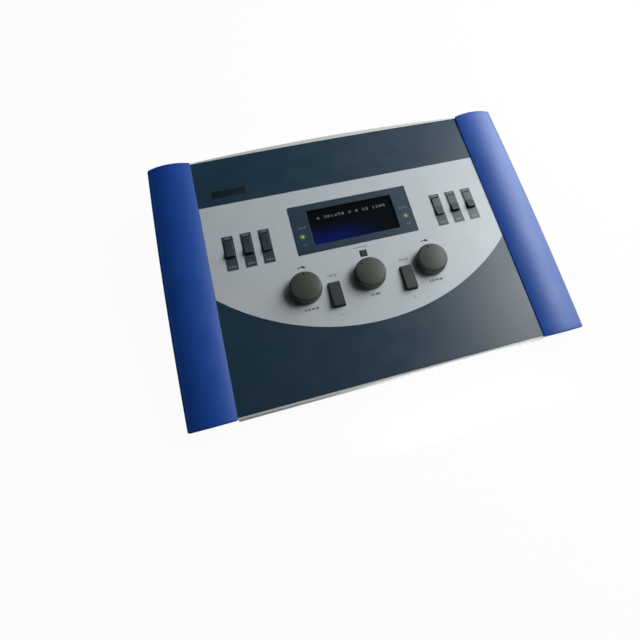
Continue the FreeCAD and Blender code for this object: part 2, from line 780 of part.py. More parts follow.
# ---------------------------------------------------------------- rockers and paddles
def turned(shape, degrees, v, w):
    """Turned about a pivot that runs along u."""
    shape.rotate(Vec(0, v, w), Vec(1, 0, 0), degrees)
    return shape


def rocker_raised(u):
    """The rockers next to the display are tipped over; the others stand with the near end up."""
    return abs(u) > right_rockers[0] + rocker_pitch / 2


def rocker_cap(u):
    """Rocker with a flat far half and a near half that climbs to the user, over a hub."""
    near = rocker_v - rocker_d / 2
    far = rocker_v + rocker_d / 2
    hub_low = -pivot_depth - hub_r
    skirt = -pivot_depth + hub_r
    cap = side_prism(
        [(near + key_draft, skirt), (near, rocker_near_h), (near + rocker_lip, rocker_near_h),
         (rocker_v, rocker_far_h), (far, rocker_far_h), (far - key_draft, skirt),
         (rocker_v + hub_r, skirt), (rocker_v + hub_r, hub_low),
         (rocker_v - hub_r, hub_low), (rocker_v - hub_r, skirt)],
        u - rocker_w / 2, u + rocker_w / 2)
    bore = rod_x(pin_r + pin_gap, u - rocker_w, u + rocker_w, rocker_v, -pivot_depth)
    cap = cap.cut(bore)
    if not rocker_raised(u):
        cap = turned(cap, rocker_swing, rocker_v, -pivot_depth)
    return on_panel(cap)


def rocker_housing(u):
    """Open-topped switch body under a rocker, on the control board."""
    body = slab(housing_w, slot_d + 2 * housing_wall, board_top, -panel_t, u, rocker_v)
    cavity = slab(slot_w, slot_d, board_top + housing_wall, 0, u, rocker_v)
    hole = rod_x(pin_r + pin_seat_gap, u - housing_w, u + housing_w, rocker_v, -pivot_depth)
    return on_panel(body.cut([cavity, hole]))


def paddle(u):
    """Long wedge-shaped paddle, hinged near its far end; the near end is pressed."""
    near = paddle_v - paddle_d / 2
    far = paddle_v + paddle_d / 2
    pivot = paddle_v + paddle_pivot
    hub_low = -pivot_depth - hub_r
    skirt = -pivot_depth + hub_r
    body = side_prism(
        [(near + key_draft, skirt), (near, paddle_near_h), (far - paddle_bevel, paddle_far_h),
         (far, paddle_far_h - paddle_bevel), (far - key_draft, skirt),
         (pivot + hub_r, hub_low), (pivot - hub_r, hub_low), (pivot - 2 * hub_r, skirt)],
        u - paddle_w / 2, u + paddle_w / 2)
    bore = rod_x(pin_r + pin_gap, u - paddle_w, u + paddle_w, pivot, -pivot_depth)
    return on_panel(body.cut(bore))


def paddle_housing(u):
    """Open-topped switch body under a paddle."""
    slot = paddle_slot(board_top + housing_wall, 0, u)
    room = slot.BoundBox
    body = box(room.XMin - housing_wall, room.XMax + housing_wall,
               room.YMin - housing_wall, room.YMax + housing_wall, board_top, -panel_t)
    pivot = paddle_v + paddle_pivot
    hole = rod_x(pin_r + pin_seat_gap, u - paddle_w, u + paddle_w, pivot, -pivot_depth)
    return on_panel(body.cut([slot, hole]))


def rocker_pins():
    """Steel pins through the rockers, the power rocker's among them."""
    pins = [on_panel(rod_x(pin_r, u - housing_w / 2, u + housing_w / 2, rocker_v, -pivot_depth))
            for u in rocker_us]
    half = housing_w / 2
    pins.append(on_rear(rod_x(pin_r, -power_x - half, -power_x + half, 0, power_pivot_z)))
    return group(pins)


def paddle_pins():
    """Steel pins through the two paddles."""
    half = paddle_w / 2 + paddle_side_gap + housing_wall
    return group(on_panel(rod_x(pin_r, u - half, u + half, paddle_v + paddle_pivot, -pivot_depth))
                 for u in (-paddle_u, paddle_u))


# ---------------------------------------------------------------- boards and cable
def control_board():
    """Board under the panel that carries encoders, switches and lamps; notched for the display."""
    low = board_top - board_t
    half = control_board_w / 2
    board = box(-half, half, control_board_near, control_board_far, low, board_top)
    notch_v = window_v - lcd_board_d / 2 - notch_gap
    notch_half = lcd_board_w / 2 + notch_gap
    notch = box(-notch_half, notch_half, notch_v, control_board_far + 1, low - 1, board_top + 1)
    header = slab(header_w, header_d, low - header_h, low, header_x, ribbon_v)
    holes = [rod(board_screw_r + hole_gap / 2, low - 1, board_top + 1, u, v)
             for u, v in board_boss_points]
    return on_panel(fused(board, header).cut(holes + [notch]))


def main_board():
    """Main board on the floor of the case, with its chips and the cable header."""
    z1 = main_z + board_t
    board = box(-main_board_w / 2, main_board_w / 2, main_y0, main_y1, main_z, z1)
    header = slab(header_w, header_d, z1, z1 + header_h, header_x, ribbon_end_y)
    middle = (main_y0 + main_y1) / 2
    chip_y = main_board_d / 5
    chips = [slab(processor_w, processor_w, z1, z1 + chip_h, -processor_w, middle),
             slab(chip_w, chip_d, z1, z1 + chip_h, processor_w, middle + chip_y),
             slab(chip_w, chip_d, z1, z1 + chip_h, processor_w, middle - chip_y),
             slab(relay_w, relay_d, z1, z1 + relay_h, main_board_w * 0.3, middle)]
    for i in range(capacitor_count):
        x = main_board_w * 0.4 - 3 * i * capacitor_r
        chips.append(rod(capacitor_r, z1, z1 + capacitor_h, x, main_y0 + 2 * boss_edge))
    board = fused(board, header, *chips)
    holes = [rod(board_screw_r + hole_gap / 2, main_z - 1, z1 + 1, x, y)
             for x, y in main_boss_points]
    return board.cut(holes)


def ribbon_cable():
    """Flat cable between the two boards: down, back in two quarter bends, and down again."""
    x0 = header_x - ribbon_w / 2
    half = ribbon_t / 2
    y0 = ribbon_start_y
    y1 = ribbon_end_y
    level = (ribbon_start_z + ribbon_end_z) / 2
    bend = ribbon_bend
    inner = bend - half
    outer = bend + half
    corner = math.sqrt(0.5)
    cy0 = y0 + bend
    cz0 = level + bend
    cy1 = y1 - bend
    cz1 = level - bend
    face = outline(
        Vec(x0, y0 - half, ribbon_start_z),
        Vec(x0, y0 - half, cz0),
        (Vec(x0, cy0 - outer * corner, cz0 - outer * corner), Vec(x0, cy0, cz0 - outer)),
        Vec(x0, cy1, level - half),
        (Vec(x0, cy1 + inner * corner, cz1 + inner * corner), Vec(x0, y1 - half, cz1)),
        Vec(x0, y1 - half, ribbon_end_z),
        Vec(x0, y1 + half, ribbon_end_z),
        Vec(x0, y1 + half, cz1),
        (Vec(x0, cy1 + outer * corner, cz1 + outer * corner), Vec(x0, cy1, cz1 + outer)),
        Vec(x0, cy0, level + half),
        (Vec(x0, cy0 - inner * corner, cz0 - inner * corner), Vec(x0, y0 + half, cz0)),
        Vec(x0, y0 + half, ribbon_start_z))
    return face.extrude(Vec(ribbon_w, 0, 0))


# ---------------------------------------------------------------- screws
def board_screws():
    """Small pan-head screws that hold the three boards."""
    screws = []
    for points, top in ((board_boss_points, board_top), (lcd_boss_points, lcd_board_top)):
        for u, v in points:
            low = top - board_t
            head = rod(board_head_r, low - board_head_h, low, u, v)
            shank = rod(board_screw_r, low, top + board_screw_l, u, v)
            screws.append(on_panel(fused(head, shank)))
    for x, y in main_boss_points:
        z1 = main_z + board_t
        head = rod(board_head_r, z1, z1 + board_head_h, x, y)
        shank = rod(board_screw_r, main_z - board_screw_l, z1, x, y)
        screws.append(fused(head, shank))
    return group(screws)


def case_screws():
    """Four screws from below, through the pillars into the panel's bosses."""
    screws = []
    for x, y in case_screw_points:
        low = case_head_seat - case_head_h
        head = rod(case_head_r, low, case_head_seat, x, y)
        socket = rod(case_head_r / 2, low - 1, low + case_head_h / 2, x, y)
        tip = case_screw_seat(y) + panel_boss_h - end_gap
        shank = rod(case_screw_r, case_head_seat, tip, x, y)
        screws.append(fused(head, shank).cut(socket))
    return group(screws)


def cheek_screws():
    """Three screws each side, from inside the case into the cheek's bosses."""
    screws = []
    for side in (-1, 1):
        for y, z in cheek_screw_points:
            inner = half_w - wall
            tip = half_w + cheek_boss_l - 2 * cheek_wall
            head = rod_x(case_head_r, inner - case_head_h, inner, y, z)
            shank = rod_x(case_screw_r, inner, tip, y, z)
            screw = fused(head, shank)
            screws.append(screw if side > 0 else mirrored(screw))
    return group(screws)


# ---------------------------------------------------------------- rear plate and connectors
# In this frame x runs to the left seen from the front, so a case x is written as -x.
def rear_plate():
    """Metal plate behind the opening of the rear wall, cut out for each connector."""
    low = floor_z - connector_z
    high = rear_shelf_z - connector_z - seat_gap
    half = rear_open_half + rear_plate_margin
    plate = box(-half, half, low, high, -rear_plate_t, 0)
    z0 = -rear_plate_t - 1
    cuts = [rod(thread_r + snug_gap, z0, 1, -x, 0) for x in socket_xs]
    cuts.append(slab(usb_w + 2 * seat_gap, usb_h + 2 * seat_gap, z0, 1, -usb_x, 0))
    cuts.append(slab(inlet_w + 2 * seat_gap, inlet_h + 2 * seat_gap, z0, 1, -inlet_x, 0))
    cuts.append(slab(housing_w + 2 * seat_gap, power_slot_d + 2 * housing_wall + 2 * seat_gap,
                     z0, 1, -power_x, 0))
    return on_rear(plate.cut(cuts))


def socket(x):
    """Jack socket: body inside the plate, threaded neck outside, one blind bore."""
    back = thread_l - socket_depth - socket_wall
    body = slab(socket_w, socket_h, back, -rear_plate_t, -x, 0)
    neck = rod(thread_r, -rear_plate_t, thread_l, -x, 0)
    bore = rod(socket_r, thread_l - socket_depth, thread_l + 1, -x, 0)
    return on_rear(fused(body, neck).cut(bore))


def socket_nuts():
    """Round knurled nuts that clamp the sockets to the plate."""
    nuts = []
    for x in socket_xs:
        nut = rod(socket_nut_r, 0, socket_nut_t, -x, 0)
        rim = [edge for edge in nut.Edges if abs(edge.BoundBox.ZMin - socket_nut_t) < 1e-6]
        nut = nut.makeChamfer(socket_nut_bevel, rim)
        nuts.append(on_rear(nut.cut(rod(thread_r + thread_gap, -1, thread_l, -x, 0))))
    return group(nuts)


def usb_socket():
    """Square data socket with its tongue."""
    mouth = connector_proud
    shell = slab(usb_w, usb_h, mouth - usb_d, mouth, -usb_x, 0)
    cavity = slab(usb_w - 2 * usb_wall, usb_h - 2 * usb_wall, mouth - usb_depth, mouth + 1,
                  -usb_x, 0)
    tongue = slab(usb_tongue_w, usb_tongue_h, mouth - usb_depth, mouth - mouth_inset, -usb_x, 0)
    return on_rear(shell.cut(cavity.cut(tongue)))


def power_inlet():
    """Round low-voltage inlet with its centre pin."""
    mouth = connector_proud
    body = slab(inlet_w, inlet_h, mouth - inlet_d, mouth, -inlet_x, 0)
    bore = rod(inlet_r, mouth - inlet_depth, mouth + 1, -inlet_x, 0)
    pin = rod(inlet_pin_r, mouth - inlet_depth, mouth - mouth_inset, -inlet_x, 0)
    return on_rear(body.cut(bore.cut(pin)))


def power_housing():
    """Body and flange of the power switch."""
    inner_d = power_slot_d
    body = slab(housing_w, inner_d + 2 * housing_wall, -power_body_d, 0, -power_x, 0)
    flange = slab(housing_w + 2 * power_flange, inner_d + 2 * housing_wall + 2 * power_flange,
                  0, power_flange, -power_x, 0)
    cavity = slab(slot_w, inner_d, housing_wall - power_body_d, power_flange + 1, -power_x, 0)
    hole = rod_x(pin_r + pin_seat_gap, -power_x - housing_w, -power_x + housing_w,
                 0, power_pivot_z)
    return on_rear(fused(body, flange).cut([cavity, hole]))


def power_rocker():
    """Shallow V-shaped rocker, resting in its OFF position."""
    half = power_d / 2
    edge_h = power_flange + power_side_h
    hub_low = power_pivot_z - hub_r
    skirt = power_pivot_z + hub_r
    x0 = -power_x - rocker_w / 2
    cap = side_prism(
        [(-half, skirt), (-half, edge_h), (0, power_flange + power_dip_h), (half, edge_h),
         (half, skirt), (hub_r, skirt), (hub_r, hub_low), (-hub_r, hub_low), (-hub_r, skirt)],
        x0, x0 + rocker_w)
    cap = cap.cut(rod_x(pin_r + pin_gap, x0 - 1, x0 + rocker_w + 1, 0, power_pivot_z))
    return on_rear(turned(cap, power_swing / 2, 0, power_pivot_z))


# ---------------------------------------------------------------- the assembly
sides = (("left", -1), ("right", 1))
nodes = {
    "base_shell": base_shell(),
    "rubber_feet": rubber_feet(),
    "control_panel": control_panel(),
    "light_overlay": light_overlay(),
    "legend_plates": legend_plates(),
    "name_plate": name_plate(),
    "right_cheek": right_cheek(),
    "display_bezel": display_bezel(),
    "display_window": display_window(),
    "lcd_frame": lcd_frame(),
    "lcd_glass": lcd_glass(),
    "lcd_board": lcd_board(),
    "status_leds": status_leds(),
    "encoder_nuts": encoder_nuts(),
    "rocker_pins": rocker_pins(),
    "paddle_pins": paddle_pins(),
    "control_board": control_board(),
    "main_board": main_board(),
    "ribbon_cable": ribbon_cable(),
    "board_screws": board_screws(),
    "case_screws": case_screws(),
    "cheek_screws": cheek_screws(),
    "rear_plate": rear_plate(),
    "socket_nuts": socket_nuts(),
    "usb_socket": usb_socket(),
    "power_inlet": power_inlet(),
    "power_housing": power_housing(),
    "power_rocker": power_rocker(),
}
nodes["left_cheek"] = mirrored(nodes["right_cheek"])
for name, u, turn in zip(("left", "centre", "right"), knob_us, knob_turns):
    nodes[name + "_knob"] = knob(u, turn)
    nodes[name + "_shaft"] = encoder_shaft(u)
    nodes[name + "_encoder"] = encoder(u)
for number, u in enumerate(rocker_us, 1):
    nodes["rocker_%d" % number] = rocker_cap(u)
    nodes["rocker_housing_%d" % number] = rocker_housing(u)
for name, side in sides:
    nodes[name + "_paddle"] = paddle(side * paddle_u)
    nodes[name + "_paddle_housing"] = paddle_housing(side * paddle_u)
for number, x in enumerate(socket_xs, 1):
    nodes["socket_%d" % number] = socket(x)

# The origin goes under the middle of the whole console.
reach = [shape.optimalBoundingBox(False, False) for shape in nodes.values()]
middle_y = (min(room.YMin for room in reach) + max(room.YMax for room in reach)) / 2
home = Vec(0, -middle_y, 0)

os.makedirs("parts", exist_ok=True)
for name, shape in sorted(nodes.items()):
    shape.translate(home)
    shape.exportStep("parts/%s.step" % name)
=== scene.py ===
import math

import bmesh
import bpy
import numpy as np
from mathutils import Matrix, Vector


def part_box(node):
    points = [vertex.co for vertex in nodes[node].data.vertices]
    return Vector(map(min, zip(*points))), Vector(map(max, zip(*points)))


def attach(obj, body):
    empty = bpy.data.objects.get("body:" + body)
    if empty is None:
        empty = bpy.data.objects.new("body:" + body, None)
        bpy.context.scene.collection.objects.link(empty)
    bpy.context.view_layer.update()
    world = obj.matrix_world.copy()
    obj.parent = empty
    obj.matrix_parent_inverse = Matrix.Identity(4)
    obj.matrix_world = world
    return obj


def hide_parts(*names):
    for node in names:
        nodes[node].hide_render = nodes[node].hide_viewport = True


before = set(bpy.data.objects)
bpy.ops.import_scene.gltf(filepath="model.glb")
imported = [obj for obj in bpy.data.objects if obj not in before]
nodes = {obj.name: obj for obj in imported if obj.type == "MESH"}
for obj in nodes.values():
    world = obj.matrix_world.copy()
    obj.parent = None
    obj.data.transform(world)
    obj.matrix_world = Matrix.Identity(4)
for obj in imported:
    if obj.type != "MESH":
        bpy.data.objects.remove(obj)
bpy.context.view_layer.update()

# ------------------------------------------------------------------ camera
# A normal lens held above the near left corner, looking down at the panel.
# The frame's middle lies left of and below the lens's axis, hence the shift.
camera_data = bpy.data.cameras.new("camera")
camera_data.sensor_width = 36.0
camera_data.lens = 28.20
camera_data.shift_x = -0.09763
camera_data.shift_y = -0.0399
camera = bpy.data.objects.new("camera", camera_data)
camera.matrix_world = Matrix((
    (0.955371, 0.227994, -0.187844, -0.081834),
    (-0.290971, 0.836076, -0.465094, -0.270054),
    (0.051013, 0.498995, 0.865102, 0.432814),
    (0.0, 0.0, 0.0, 1.0)))
bpy.context.scene.collection.objects.link(camera)
bpy.context.scene.camera = camera
bpy.context.scene.view_settings.view_transform = "Standard"

# ------------------------------------------------------------------ studio
# White table top before a white backdrop in a dim room, soft lights from windows on the right
# and a weak one on the left. Their white is seen directly or through clear pieces only, so that
# the case mirrors the dim room; a matt share of the table top keeps the case's shadow.
world = bpy.data.worlds.new("room")
bpy.context.scene.world = world
world.use_nodes = True
tree = world.node_tree
dim = tree.nodes["Background"]
dim.inputs["Color"].default_value = (0.93, 0.96, 1.0, 1.0)
dim.inputs["Strength"].default_value = 0.015
backdrop = tree.nodes.new("ShaderNodeBackground")
backdrop.inputs["Color"].default_value = (1.0, 1.0, 1.0, 1.0)
backdrop.inputs["Strength"].default_value = 1.0
ray = tree.nodes.new("ShaderNodeLightPath")
straight = tree.nodes.new("ShaderNodeMath")
straight.operation = "MAXIMUM"
mix = tree.nodes.new("ShaderNodeMixShader")
tree.links.new(ray.outputs["Is Camera Ray"], straight.inputs[0])
tree.links.new(ray.outputs["Is Transmission Ray"], straight.inputs[1])
tree.links.new(straight.outputs["Value"], mix.inputs["Fac"])
tree.links.new(dim.outputs["Background"], mix.inputs[1])
tree.links.new(backdrop.outputs["Background"], mix.inputs[2])
tree.links.new(mix.outputs["Shader"], tree.nodes["World Output"].inputs["Surface"])

table_mesh = bpy.data.meshes.new("table")
table_z = -0.0001
table_half = 3.0
table_mesh.from_pydata([(-table_half, -table_half, table_z), (table_half, -table_half, table_z),
                        (table_half, table_half, table_z), (-table_half, table_half, table_z)],
                       [], [(0, 1, 2, 3)])
table_top = bpy.data.objects.new("table", table_mesh)
bpy.context.scene.collection.objects.link(table_top)
table_paint = bpy.data.materials.new("table")
table_paint.use_nodes = True
tree = table_paint.node_tree
tree.nodes.clear()
out = tree.nodes.new("ShaderNodeOutputMaterial")
ray = tree.nodes.new("ShaderNodeLightPath")
white_share = 0.955
share = tree.nodes.new("ShaderNodeMath")
share.operation = "MULTIPLY"
share.inputs[1].default_value = white_share
mix = tree.nodes.new("ShaderNodeMixShader")
matt = tree.nodes.new("ShaderNodeBsdfDiffuse")
matt.inputs["Color"].default_value = (0.8, 0.8, 0.8, 1.0)
white = tree.nodes.new("ShaderNodeEmission")
white.inputs["Color"].default_value = (1.0, 1.0, 1.0, 1.0)
white.inputs["Strength"].default_value = 1.0
tree.links.new(ray.outputs["Is Camera Ray"], share.inputs[0])
tree.links.new(share.outputs["Value"], mix.inputs["Fac"])
tree.links.new(matt.outputs["BSDF"], mix.inputs[1])
tree.links.new(white.outputs["Emission"], mix.inputs[2])
tree.links.new(mix.outputs["Shader"], out.inputs["Surface"])
table_mesh.materials.append(table_paint)


def soft_light(name, place, target, width, height, watts, colour):
    """Rectangular soft light at a place, its face turned to the target."""
    data = bpy.data.lights.new(name, "AREA")
    data.shape = "RECTANGLE"
    data.size = width
    data.size_y = height
    data.energy = watts
    data.color = colour
    lamp = bpy.data.objects.new(name, data)
    back = np.array(place, float) - np.array(target, float)
    back /= np.linalg.norm(back)
    side = np.cross((0.0, 1.0, 0.0), back)
    side /= np.linalg.norm(side)
    pose = np.eye(4)
    pose[:3, 0] = side
    pose[:3, 1] = np.cross(back, side)
    pose[:3, 2] = back
    pose[:3, 3] = place
    lamp.matrix_world = Matrix(pose.tolist())
    bpy.context.scene.collection.objects.link(lamp)
    return lamp


daylight = (1.0, 1.0, 1.0)
for name, place, width, height, watts in (
        ("key", (0.66, 0.12, 0.74), 0.42, 0.6, 5.8),
        ("window", (1.1, 0.2, 0.6), 0.6, 0.9, 7.4),
        ("far_window", (0.9, 0.6, 0.45), 0.5, 0.5, 3.6),
        ("back", (0.42, 0.85, 0.7), 0.6, 0.5, 1.0),
        ("top", (0.62, -0.1, 0.9), 0.4, 0.4, 1.2)):
    soft_light(name, place, (0.05, 0.0, 0.03), width, height, watts, daylight)

# A low card before the front lip stands for the light that the table throws on it.
card = soft_light("near_edge", (0.062, -0.19, 0.011), (0.062, -0.13, 0.01), 0.17, 0.012, 0.085,
                  daylight)
card.visible_glossy = False
card.visible_camera = False
soft_light("fill", (-0.9, -0.5, 1.2), (0.0, 0.0, 0.03), 0.9, 0.9, 0.2, (0.95, 0.98, 1.0))

# ------------------------------------------------------------------ base shell
# The tray under everything: one light grey moulding with a fine spark-eroded skin.
# Its front and rear lips are all that shows beside the dark panel.


def shader_group(name, inputs, outputs):
    """An empty node group with named sockets; returns it with its two end nodes."""
    group = bpy.data.node_groups.new(name, "ShaderNodeTree")
    for label, kind in inputs:
        group.interface.new_socket(label, in_out="INPUT", socket_type=kind)
    for label, kind in outputs:
        group.interface.new_socket(label, in_out="OUTPUT", socket_type=kind)
    return group, group.nodes.new("NodeGroupInput"), group.nodes.new("NodeGroupOutput")


# Skin of a moulding: Height is fine pits with a few coarser ones, Tone a slow drift of shade.
moulded_skin, taken, given = shader_group(
    "moulded_skin",
    [("Place", "NodeSocketVector"), ("Grain", "NodeSocketFloat"), ("Clouds", "NodeSocketFloat")],
    [("Height", "NodeSocketFloat"), ("Tone", "NodeSocketFloat")])
pits = moulded_skin.nodes.new("ShaderNodeTexNoise")
pits.inputs["Detail"].default_value = 2.0
pits.inputs["Roughness"].default_value = 0.6
clouds = moulded_skin.nodes.new("ShaderNodeTexNoise")
clouds.inputs["Detail"].default_value = 3.0
spread = moulded_skin.nodes.new("ShaderNodeMapRange")
spread.inputs["From Min"].default_value = 0.3
spread.inputs["From Max"].default_value = 0.7
moulded_skin.links.new(taken.outputs["Place"], pits.inputs["Vector"])
moulded_skin.links.new(taken.outputs["Grain"], pits.inputs["Scale"])
moulded_skin.links.new(taken.outputs["Place"], clouds.inputs["Vector"])
moulded_skin.links.new(taken.outputs["Clouds"], clouds.inputs["Scale"])
moulded_skin.links.new(clouds.outputs["Fac"], spread.inputs["Value"])
moulded_skin.links.new(pits.outputs["Fac"], given.inputs["Height"])
moulded_skin.links.new(spread.outputs["Result"], given.inputs["Tone"])


def bare_material(name, roughness, metallic=0.0):
    """A material with its node tree, its Principled shader and the piece's own coordinates."""
    paint = bpy.data.materials.new(name)
    paint.use_nodes = True
    shader = paint.node_tree.nodes["Principled BSDF"]
    shader.inputs["Roughness"].default_value = roughness
    shader.inputs["Metallic"].default_value = metallic
    place = paint.node_tree.nodes.new("ShaderNodeTexCoord")
    return paint, paint.node_tree, shader, place.outputs["Object"]


def two_tone(tree, factor, first, second):
    """Colour that goes from first to second with a factor; returns the colour socket."""
    blend = tree.nodes.new("ShaderNodeMix")
    blend.data_type = "RGBA"
    blend.inputs[6].default_value = (*first, 1.0)
    blend.inputs[7].default_value = (*second, 1.0)
    tree.links.new(factor, blend.inputs[0])
    return blend.outputs[2]


def ranged(tree, value, low, high, start=0.0, end=1.0):
    """A value from start to end stretched between low and high; returns the value socket."""
    stretch = tree.nodes.new("ShaderNodeMapRange")
    stretch.inputs["From Min"].default_value = start
    stretch.inputs["From Max"].default_value = end
    stretch.inputs["To Min"].default_value = low
    stretch.inputs["To Max"].default_value = high
    tree.links.new(value, stretch.inputs["Value"])
    return stretch.outputs["Result"]


def bumped(tree, height, strength, distance):
    """Raises the shader's surface by a height; returns the bump node."""
    bump = tree.nodes.new("ShaderNodeBump")
    bump.inputs["Strength"].default_value = strength
    bump.inputs["Distance"].default_value = distance
    tree.links.new(height, bump.inputs["Height"])
    tree.links.new(bump.outputs["Normal"], tree.nodes["Principled BSDF"].inputs["Normal"])
    return bump


def moulded(name, light, dark, roughness, grain=2600.0, relief=0.00002, edge=0.0004):
    """Moulded plastic: shade drifts from light to dark, pitted skin, soft edges of radius edge."""
    paint, tree, shader, place = bare_material(name, roughness)
    skin = tree.nodes.new("ShaderNodeGroup")
    skin.node_tree = moulded_skin
    skin.inputs["Grain"].default_value = grain
    skin.inputs["Clouds"].default_value = 45.0
    tree.links.new(place, skin.inputs["Place"])
    tree.links.new(two_tone(tree, skin.outputs["Tone"], light, dark), shader.inputs["Base Color"])
    tree.links.new(ranged(tree, skin.outputs["Tone"], roughness - 0.03, roughness + 0.03),
                   shader.inputs["Roughness"])
    corner = tree.nodes.new("ShaderNodeBevel")
    corner.samples = 4
    corner.inputs["Radius"].default_value = edge
    bump = bumped(tree, skin.outputs["Height"], 0.6, relief)
    tree.links.new(corner.outputs["Normal"], bump.inputs["Normal"])
    return paint


def dress(finish, *names):
    """Gives CAD nodes their finish."""
    for name in names:
        for place in nodes[name].material_slots:
            place.material = finish


light_case = moulded("light_case", (0.62, 0.63, 0.62), (0.59, 0.60, 0.59), 0.5, edge=0.0006)
dress(light_case, "base_shell")

# ------------------------------------------------------------------ rubber feet
# Four soft black rubber feet, pressed into the bottom by their pegs; dull and slightly dusty.
# They carry the case just off the table and stop it sliding.
foot_rubber = moulded("foot_rubber", (0.022, 0.022, 0.022), (0.035, 0.034, 0.032), 0.85,
                      grain=900.0, relief=0.00006)
dress(foot_rubber, "rubber_feet")

# ------------------------------------------------------------------ boards, chips and fixings
# Green circuit boards with copper tracks under the lacquer, zinc-plated steel screws, pins and
# shafts, and the grey ribbon cable between the boards.
board_green, tree, shader, place = bare_material("board_green", 0.35)
tracks = tree.nodes.new("ShaderNodeTexBrick")
tracks.inputs["Scale"].default_value = 160.0
tracks.inputs["Mortar Size"].default_value = 0.035
tracks.inputs["Color1"].default_value = (0.008, 0.075, 0.03, 1.0)
tracks.inputs["Color2"].default_value = (0.01, 0.09, 0.036, 1.0)
tracks.inputs["Mortar"].default_value = (0.03, 0.2, 0.07, 1.0)
lands = tree.nodes.new("ShaderNodeTexVoronoi")
lands.inputs["Scale"].default_value = 260.0
pad = ranged(tree, lands.outputs["Distance"], 1.0, 0.0, 0.12, 0.18)
solder = tree.nodes.new("ShaderNodeMix")
solder.data_type = "RGBA"
solder.inputs[7].default_value = (0.55, 0.55, 0.52, 1.0)
tree.links.new(place, tracks.inputs["Vector"])
tree.links.new(place, lands.inputs["Vector"])
tree.links.new(pad, solder.inputs[0])
tree.links.new(tracks.outputs["Color"], solder.inputs[6])
tree.links.new(solder.outputs[2], shader.inputs["Base Color"])
dress(board_green, "control_board", "main_board", "lcd_board")


def noise(tree, vector, scale, detail=2.0):
    """Noise of a scale over a vector; returns its value socket."""
    texture = tree.nodes.new("ShaderNodeTexNoise")
    texture.inputs["Scale"].default_value = scale
    texture.inputs["Detail"].default_value = detail
    tree.links.new(vector, texture.inputs["Vector"])
    return texture.outputs["Fac"]


def drawn_metal(name, light, dark, roughness, along):
    """Metal with fine lines: noise squeezed by `along`, which is short on the axis of the lines."""
    paint, tree, shader, place = bare_material(name, roughness, metallic=1.0)
    squeeze = tree.nodes.new("ShaderNodeMapping")
    squeeze.inputs["Scale"].default_value = along
    tree.links.new(place, squeeze.inputs["Vector"])
    lines = noise(tree, squeeze.outputs["Vector"], 1.0, 4.0)
    tree.links.new(two_tone(tree, lines, light, dark), shader.inputs["Base Color"])
    tree.links.new(ranged(tree, lines, roughness - 0.08, roughness + 0.12),
                   shader.inputs["Roughness"])
    bumped(tree, lines, 0.3, 0.00001)
    return paint


zinc_steel = drawn_metal("zinc_steel", (0.5, 0.51, 0.53), (0.62, 0.62, 0.6), 0.3,
                         (300.0, 2500.0, 2500.0))
dress(zinc_steel, "board_screws", "case_screws", "cheek_screws", "rocker_pins", "paddle_pins",
      "encoder_nuts", "left_shaft", "centre_shaft", "right_shaft")

ribbon_grey, tree, shader, place = bare_material("ribbon_grey", 0.5)
wires = tree.nodes.new("ShaderNodeTexWave")
wires.bands_direction = "X"
wires.inputs["Scale"].default_value = 250.0
tree.links.new(place, wires.inputs["Vector"])
bumped(tree, wires.outputs["Fac"], 1.0, 0.0003)
tree.links.new(two_tone(tree, wires.outputs["Fac"], (0.3, 0.31, 0.32), (0.5, 0.51, 0.52)),
               shader.inputs["Base Color"])
dress(ribbon_grey, "ribbon_cable")

# ------------------------------------------------------------------ rear plate and connectors
# Brushed aluminium plate behind the rear opening; black jack sockets under nickel nuts, a
# tinned data socket, a black power inlet and the power switch, with plain printed numbers.
rear_metal = drawn_metal("rear_metal", (0.5, 0.51, 0.53), (0.62, 0.63, 0.64), 0.35,
                         (40.0, 2500.0, 2500.0))
dress(rear_metal, "rear_plate")
nut_nickel = drawn_metal("nut_nickel", (0.68, 0.68, 0.66), (0.8, 0.8, 0.78), 0.2,
                         (1800.0, 1800.0, 200.0))
dress(nut_nickel, "socket_nuts")
tinned_steel = drawn_metal("tinned_steel", (0.55, 0.55, 0.54), (0.66, 0.66, 0.65), 0.3,
                           (2500.0, 2500.0, 300.0))
dress(tinned_steel, "usb_socket")
black_moulding = moulded("black_moulding", (0.018, 0.018, 0.019), (0.026, 0.026, 0.026), 0.42)
dress(black_moulding, "power_inlet", "power_housing", "left_encoder", "centre_encoder",
      "right_encoder", "left_paddle_housing", "right_paddle_housing",
      *["socket_%d" % number for number in range(1, 6)],
      *["rocker_housing_%d" % number for number in range(1, 7)])
switch_black = moulded("switch_black", (0.014, 0.014, 0.015), (0.02, 0.02, 0.02), 0.3)
dress(switch_black, "power_rocker")


def ink(name, light, dark):
    """Screen-printed ink: a thin dull coat whose cover varies a little."""
    paint, tree, shader, place = bare_material(name, 0.55)
    cover = noise(tree, place, 1500.0)
    tree.links.new(two_tone(tree, cover, light, dark), shader.inputs["Base Color"])
    shader.inputs["Specular IOR Level"].default_value = 0.2
    return paint


capital_share = 0.69  # height of a capital over the size of the letters
print_relief = 0.00003


